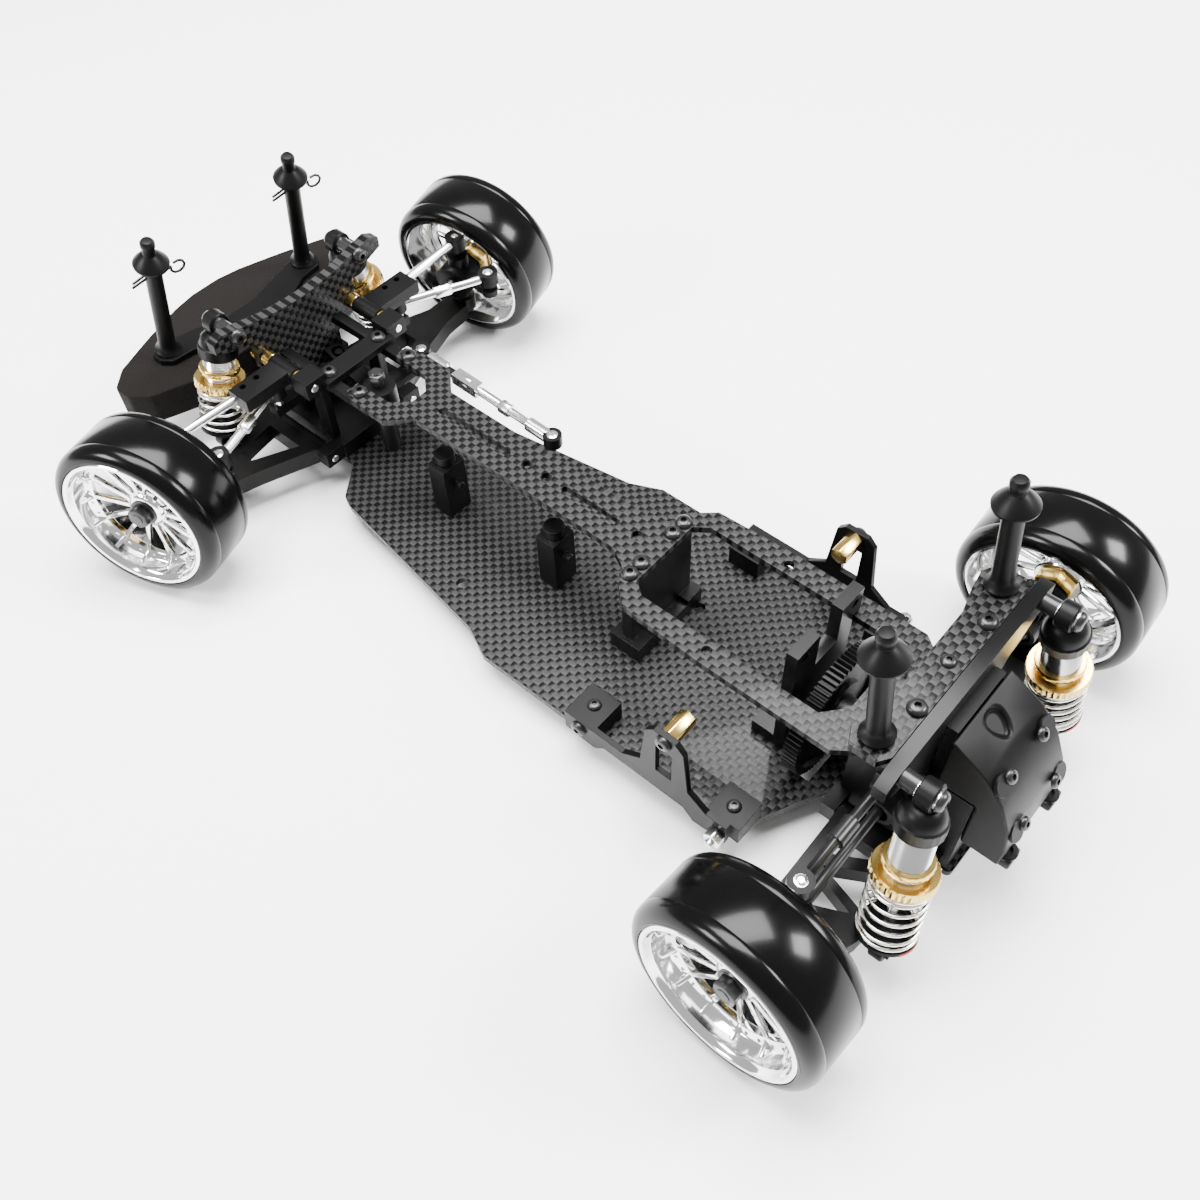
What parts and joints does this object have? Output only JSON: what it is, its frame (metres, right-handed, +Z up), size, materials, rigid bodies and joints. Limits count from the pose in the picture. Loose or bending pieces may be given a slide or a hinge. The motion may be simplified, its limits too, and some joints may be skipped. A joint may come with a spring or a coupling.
{
  "type": "rc drift car",
  "caption": "Rear-drive drift car chassis with carbon plates, spoked wheels, sprung arms, rack steering, foam bumper and body posts.",
  "frame": {"origin": "on the floor, under the middle of the car's bounding box", "axes": "+X to the car's front, +Y to its left, +Z up"},
  "size_m": [0.3669, 0.207, 0.1193],
  "materials": {
    "carbon_fibre": "glossy woven carbon fibre",
    "black_plastic": "satin black",
    "black_aluminium": "black anodised",
    "foam": "matt soft foam",
    "gold": "gold anodised",
    "steel": "plain steel",
    "chrome": "chrome plated",
    "hard_tyre": "hard glossy drift tyre",
    "silver": "clear anodised"
  },
  "bodies": {
    "chassis": {"chassis_plate": "carbon_fibre", "upper_deck": "carbon_fibre", "front_bulkhead": "black_plastic", "motor_mount": "black_aluminium", "gearbox": "black_plastic", "shock_towers": "carbon_fibre", "bumper_foam": "foam", "body_posts": "black_plastic", "battery_holders": "black_plastic", "brass_spacers": "gold", "steel_fasteners": "steel"},
    "steering_crank": {"steering_crank": "black_plastic"},
    "steering_rack": {"steering_rack": "black_plastic"},
    "servo_link": {"servo_link": "black_plastic"},
    "left_front_arm": {"front_lower_arm_l": "black_plastic"},
    "left_front_pivot_ball": {"front_pivot_ball_l": "steel"},
    "left_front_knuckle": {"front_knuckle_l": "black_plastic"},
    "left_front_wheel": {"front_hub_l": "gold", "front_rim_l": "chrome", "front_tyre_l": "hard_tyre"},
    "left_upper_arm": {"front_upper_arm_l": "black_plastic"},
    "left_tie_ball": {"tie_ball_l": "steel"},
    "left_tie_rod": {"tie_rod_l": "black_plastic"},
    "left_front_shock_body": {"front_shock_body_l": "silver", "front_shock_spring_l": "steel"},
    "left_front_shock_rod": {"front_shock_rod_l": "black_plastic"},
    "left_rear_shock_body": {"rear_shock_body_l": "silver", "rear_shock_spring_l": "steel"},
    "left_rear_shock_rod": {"rear_shock_rod_l": "black_plastic"},
    "right_front_arm": {"front_lower_arm_r": "black_plastic"},
    "right_front_pivot_ball": {"front_pivot_ball_r": "steel"},
    "right_front_knuckle": {"front_knuckle_r": "black_plastic"},
    "right_front_wheel": {"front_hub_r": "gold", "front_rim_r": "chrome", "front_tyre_r": "hard_tyre"},
    "right_upper_arm": {"front_upper_arm_r": "black_plastic"},
    "right_tie_ball": {"tie_ball_r": "steel"},
    "right_tie_rod": {"tie_rod_r": "black_plastic"},
    "right_front_shock_body": {"front_shock_body_r": "silver", "front_shock_spring_r": "steel"},
    "right_front_shock_rod": {"front_shock_rod_r": "black_plastic"},
    "right_rear_shock_body": {"rear_shock_body_r": "silver", "rear_shock_spring_r": "steel"},
    "right_rear_shock_rod": {"rear_shock_rod_r": "black_plastic"},
    "left_rear_arm": {"rear_lower_arm_l": "black_plastic"},
    "left_hub_carrier": {"rear_hub_carrier_l": "black_plastic"},
    "left_rear_wheel": {"rear_hub_l": "gold", "rear_rim_l": "chrome", "rear_tyre_l": "hard_tyre"},
    "left_upper_link": {"rear_upper_link_l": "black_plastic"},
    "left_drive_shaft": {"drive_shaft_l": "steel"},
    "right_rear_arm": {"rear_lower_arm_r": "black_plastic"},
    "right_hub_carrier": {"rear_hub_carrier_r": "black_plastic"},
    "right_rear_wheel": {"rear_hub_r": "gold", "rear_rim_r": "chrome", "rear_tyre_r": "hard_tyre"},
    "right_upper_link": {"rear_upper_link_r": "black_plastic"},
    "right_drive_shaft": {"drive_shaft_r": "steel"},
    "final_drive": {"final_drive": "steel"},
    "spur_gear": {"spur_gear": "black_plastic"}
  },
  "joints": [
    {"name": "steering", "type": "hinge", "parent": "chassis", "child": "steering_crank", "pos_m": [0.079, 0, 0.037], "axis": [0, 0, 1], "range_deg": [-9, 30]},
    {"name": "rack_slide", "type": "slide", "parent": "chassis", "child": "steering_rack", "axis": [0, 1, 0], "range_m": [-0.0047, 0.01544]},
    {"name": "servo_link_front_ball", "type": "hinge", "parent": "steering_crank", "child": "servo_link", "pos_m": [0.0776, -0.0204, 0.0435], "axis": [0, 0, 1], "range_deg": [-31, 10]},
    {"name": "left_front_arm", "type": "hinge", "parent": "chassis", "child": "left_front_arm", "pos_m": [0.1127, 0.02, 0.014], "axis": [1, 0, 0], "range_deg": [-8, 8], "stiffness_Nm_per_rad": 2, "springref_deg": -4.58},
    {"name": "left_front_pivot_ball_tilt", "type": "hinge", "parent": "left_front_arm", "child": "left_front_pivot_ball", "pos_m": [0.1127, 0.073, 0.017], "axis": [1, 0, 0], "range_deg": [-8.1, 8.1]},
    {"name": "left_front_steer", "type": "hinge", "parent": "left_front_pivot_ball", "child": "left_front_knuckle", "pos_m": [0.1127, 0.073, 0.017], "axis": [-0.128, -0.1107, 0.9856], "range_deg": [-45.2, 13.7]},
    {"name": "left_front_spin", "type": "hinge", "parent": "left_front_knuckle", "child": "left_front_wheel", "pos_m": [0.10672, 0.08264, 0.03165], "axis": [-0.3557, 0.9266, 0.1219], "continuous": true},
    {"name": "left_upper_arm", "type": "hinge", "parent": "chassis", "child": "left_upper_arm", "pos_m": [0.1127, 0.02, 0.0495], "axis": [1, 0, 0], "range_deg": [-8.71, 8.71]},
    {"name": "left_tie_ball_turn", "type": "hinge", "parent": "steering_rack", "child": "left_tie_ball", "pos_m": [0.108, 0.02449, 0.04], "axis": [0, 0, 1], "range_deg": [-3.27, 10.2]},
    {"name": "left_tie_rod_swing", "type": "hinge", "parent": "left_tie_ball", "child": "left_tie_rod", "pos_m": [0.108, 0.02449, 0.04], "axis": [1, 0, 0], "range_deg": [-12.72, 12.72]},
    {"name": "left_front_shock_swing", "type": "hinge", "parent": "chassis", "child": "left_front_shock_body", "pos_m": [0.126, 0.0283, 0.0644], "axis": [1, 0, 0], "range_deg": [-0.471, 0.471]},
    {"name": "left_front_shock_travel", "type": "slide", "parent": "left_front_shock_body", "child": "left_front_shock_rod", "axis": [0, 0.2512, -0.9679], "range_m": [-0.00299, 0.00299], "deforming": ["front_shock_spring_l"]},
    {"name": "left_rear_shock_swing", "type": "hinge", "parent": "chassis", "child": "left_rear_shock_body", "pos_m": [-0.1617, 0.0344, 0.0772], "axis": [1, 0, 0], "range_deg": [-0.94, 0.94]},
    {"name": "left_rear_shock_travel", "type": "slide", "parent": "left_rear_shock_body", "child": "left_rear_shock_rod", "axis": [-0.0905, 0.1976, -0.9761], "range_m": [-0.00381, 0.00381], "deforming": ["rear_shock_spring_l"]},
    {"name": "right_front_arm", "type": "hinge", "parent": "chassis", "child": "right_front_arm", "pos_m": [0.1127, -0.02, 0.014], "axis": [-1, 0, 0], "range_deg": [-8, 8], "stiffness_Nm_per_rad": 2, "springref_deg": -4.58},
    {"name": "right_front_pivot_ball_tilt", "type": "hinge", "parent": "right_front_arm", "child": "right_front_pivot_ball", "pos_m": [0.1127, -0.073, 0.017], "axis": [-1, 0, 0], "range_deg": [-8.1, 8.1]},
    {"name": "right_front_steer", "type": "hinge", "parent": "right_front_pivot_ball", "child": "right_front_knuckle", "pos_m": [0.1127, -0.073, 0.017], "axis": [-0.128, 0.1107, 0.9856], "range_deg": [-45.2, 13.7]},
    {"name": "right_front_spin", "type": "hinge", "parent": "right_front_knuckle", "child": "right_front_wheel", "pos_m": [0.11326, -0.08321, 0.03165], "axis": [-0.1894, 0.9743, -0.1219], "continuous": true},
    {"name": "right_upper_arm", "type": "hinge", "parent": "chassis", "child": "right_upper_arm", "pos_m": [0.1127, -0.02, 0.0495], "axis": [-1, 0, 0], "range_deg": [-8.71, 8.71]},
    {"name": "right_tie_ball_turn", "type": "hinge", "parent": "steering_rack", "child": "right_tie_ball", "pos_m": [0.108, -0.03551, 0.04], "axis": [0, 0, 1], "range_deg": [-4.08, 12.9]},
    {"name": "right_tie_rod_swing", "type": "hinge", "parent": "right_tie_ball", "child": "right_tie_rod", "pos_m": [0.108, -0.03551, 0.04], "axis": [-1, 0, 0], "range_deg": [-12.88, 12.88]},
    {"name": "right_front_shock_swing", "type": "hinge", "parent": "chassis", "child": "right_front_shock_body", "pos_m": [0.126, -0.0283, 0.0644], "axis": [-1, 0, 0], "range_deg": [-0.471, 0.471]},
    {"name": "right_front_shock_travel", "type": "slide", "parent": "right_front_shock_body", "child": "right_front_shock_rod", "axis": [0, -0.2512, -0.9679], "range_m": [-0.00299, 0.00299], "deforming": ["front_shock_spring_r"]},
    {"name": "right_rear_shock_swing", "type": "hinge", "parent": "chassis", "child": "right_rear_shock_body", "pos_m": [-0.1617, -0.0344, 0.0772], "axis": [-1, 0, 0], "range_deg": [-0.94, 0.94]},
    {"name": "right_rear_shock_travel", "type": "slide", "parent": "right_rear_shock_body", "child": "right_rear_shock_rod", "axis": [-0.0905, -0.1976, -0.9761], "range_m": [-0.00381, 0.00381], "deforming": ["rear_shock_spring_r"]},
    {"name": "left_rear_arm", "type": "hinge", "parent": "chassis", "child": "left_rear_arm", "pos_m": [-0.1469, 0.02, 0.014], "axis": [1, 0, 0], "range_deg": [-8, 8], "stiffness_Nm_per_rad": 2, "springref_deg": -4.58},
    {"name": "left_hub_carrier_tilt", "type": "hinge", "parent": "left_rear_arm", "child": "left_hub_carrier", "pos_m": [-0.1469, 0.063, 0.015], "axis": [1, 0, 0], "range_deg": [-8.1, 8.1]},
    {"name": "left_rear_spin", "type": "hinge", "parent": "left_hub_carrier", "child": "left_rear_wheel", "pos_m": [-0.14622, 0.08253, 0.03137], "axis": [0.0348, 0.9963, 0.0785], "continuous": true},
    {"name": "left_upper_link", "type": "hinge", "parent": "chassis", "child": "left_upper_link", "pos_m": [-0.1453, 0.019, 0.042], "axis": [1, 0, 0], "range_deg": [-8.8, 8.8]},
    {"name": "left_shaft_swing", "type": "hinge", "parent": "chassis", "child": "left_drive_shaft", "pos_m": [-0.1469, 0.019, 0.03], "axis": [1, 0, 0], "range_deg": [-8.84, 8.84]},
    {"name": "right_rear_arm", "type": "hinge", "parent": "chassis", "child": "right_rear_arm", "pos_m": [-0.1469, -0.02, 0.014], "axis": [-1, 0, 0], "range_deg": [-8, 8], "stiffness_Nm_per_rad": 2, "springref_deg": -4.58},
    {"name": "right_hub_carrier_tilt", "type": "hinge", "parent": "right_rear_arm", "child": "right_hub_carrier", "pos_m": [-0.1469, -0.063, 0.015], "axis": [-1, 0, 0], "range_deg": [-8.1, 8.1]},
    {"name": "right_rear_spin", "type": "hinge", "parent": "right_hub_carrier", "child": "right_rear_wheel", "pos_m": [-0.14622, -0.08253, 0.03137], "axis": [-0.0348, 0.9963, -0.0785], "continuous": true},
    {"name": "right_upper_link", "type": "hinge", "parent": "chassis", "child": "right_upper_link", "pos_m": [-0.1453, -0.019, 0.042], "axis": [-1, 0, 0], "range_deg": [-8.8, 8.8]},
    {"name": "right_shaft_swing", "type": "hinge", "parent": "chassis", "child": "right_drive_shaft", "pos_m": [-0.1469, -0.019, 0.03], "axis": [-1, 0, 0], "range_deg": [-8.84, 8.84]},
    {"name": "spool_spin", "type": "hinge", "parent": "chassis", "child": "final_drive", "pos_m": [-0.1469, 0, 0.03], "axis": [0, 1, 0], "continuous": true},
    {"name": "spur_spin", "type": "hinge", "parent": "chassis", "child": "spur_gear", "pos_m": [-0.1179, 0.0018, 0.03], "axis": [1, 0, 0], "continuous": true}
  ],
  "couplings": [
    {"joint": "rack_slide", "follows": "steering", "m_per_rad": 0.0293},
    {"joint": "servo_link_front_ball", "follows": "steering", "ratio": -1},
    {"joint": "left_front_pivot_ball_tilt", "follows": "left_front_arm", "ratio": -1},
    {"joint": "left_front_steer", "follows": "steering", "ratio": -1.5},
    {"joint": "left_upper_arm", "follows": "left_front_arm", "ratio": 1.0643},
    {"joint": "left_tie_ball_turn", "follows": "steering", "ratio": 0.33},
    {"joint": "left_tie_rod_swing", "follows": "left_front_arm", "ratio": 1.5645},
    {"joint": "left_front_shock_swing", "follows": "left_front_arm", "ratio": 0.04636},
    {"joint": "left_front_shock_travel", "follows": "left_front_arm", "m_per_rad": -0.02069},
    {"joint": "left_rear_shock_swing", "follows": "left_rear_arm", "ratio": 0.10494},
    {"joint": "left_rear_shock_travel", "follows": "left_rear_arm", "m_per_rad": -0.02655},
    {"joint": "right_front_pivot_ball_tilt", "follows": "right_front_arm", "ratio": -1},
    {"joint": "right_front_steer", "follows": "steering", "ratio": -1.5},
    {"joint": "right_upper_arm", "follows": "right_front_arm", "ratio": 1.0643},
    {"joint": "right_tie_ball_turn", "follows": "steering", "ratio": 0.42},
    {"joint": "right_tie_rod_swing", "follows": "right_front_arm", "ratio": 1.5844},
    {"joint": "right_front_shock_swing", "follows": "right_front_arm", "ratio": 0.04636},
    {"joint": "right_front_shock_travel", "follows": "right_front_arm", "m_per_rad": -0.02069},
    {"joint": "right_rear_shock_swing", "follows": "right_rear_arm", "ratio": 0.10494},
    {"joint": "right_rear_shock_travel", "follows": "right_rear_arm", "m_per_rad": -0.02655},
    {"joint": "left_hub_carrier_tilt", "follows": "left_rear_arm", "ratio": -1},
    {"joint": "left_upper_link", "follows": "left_rear_arm", "ratio": 1.075},
    {"joint": "left_shaft_swing", "follows": "left_rear_arm", "ratio": 1.08},
    {"joint": "right_hub_carrier_tilt", "follows": "right_rear_arm", "ratio": -1},
    {"joint": "right_upper_link", "follows": "right_rear_arm", "ratio": 1.075},
    {"joint": "right_shaft_swing", "follows": "right_rear_arm", "ratio": 1.08},
    {"joint": "right_rear_spin", "follows": "left_rear_spin", "ratio": 1},
    {"joint": "spool_spin", "follows": "left_rear_spin", "ratio": 1},
    {"joint": "spur_spin", "follows": "left_rear_spin", "ratio": 2.5}
  ]
}
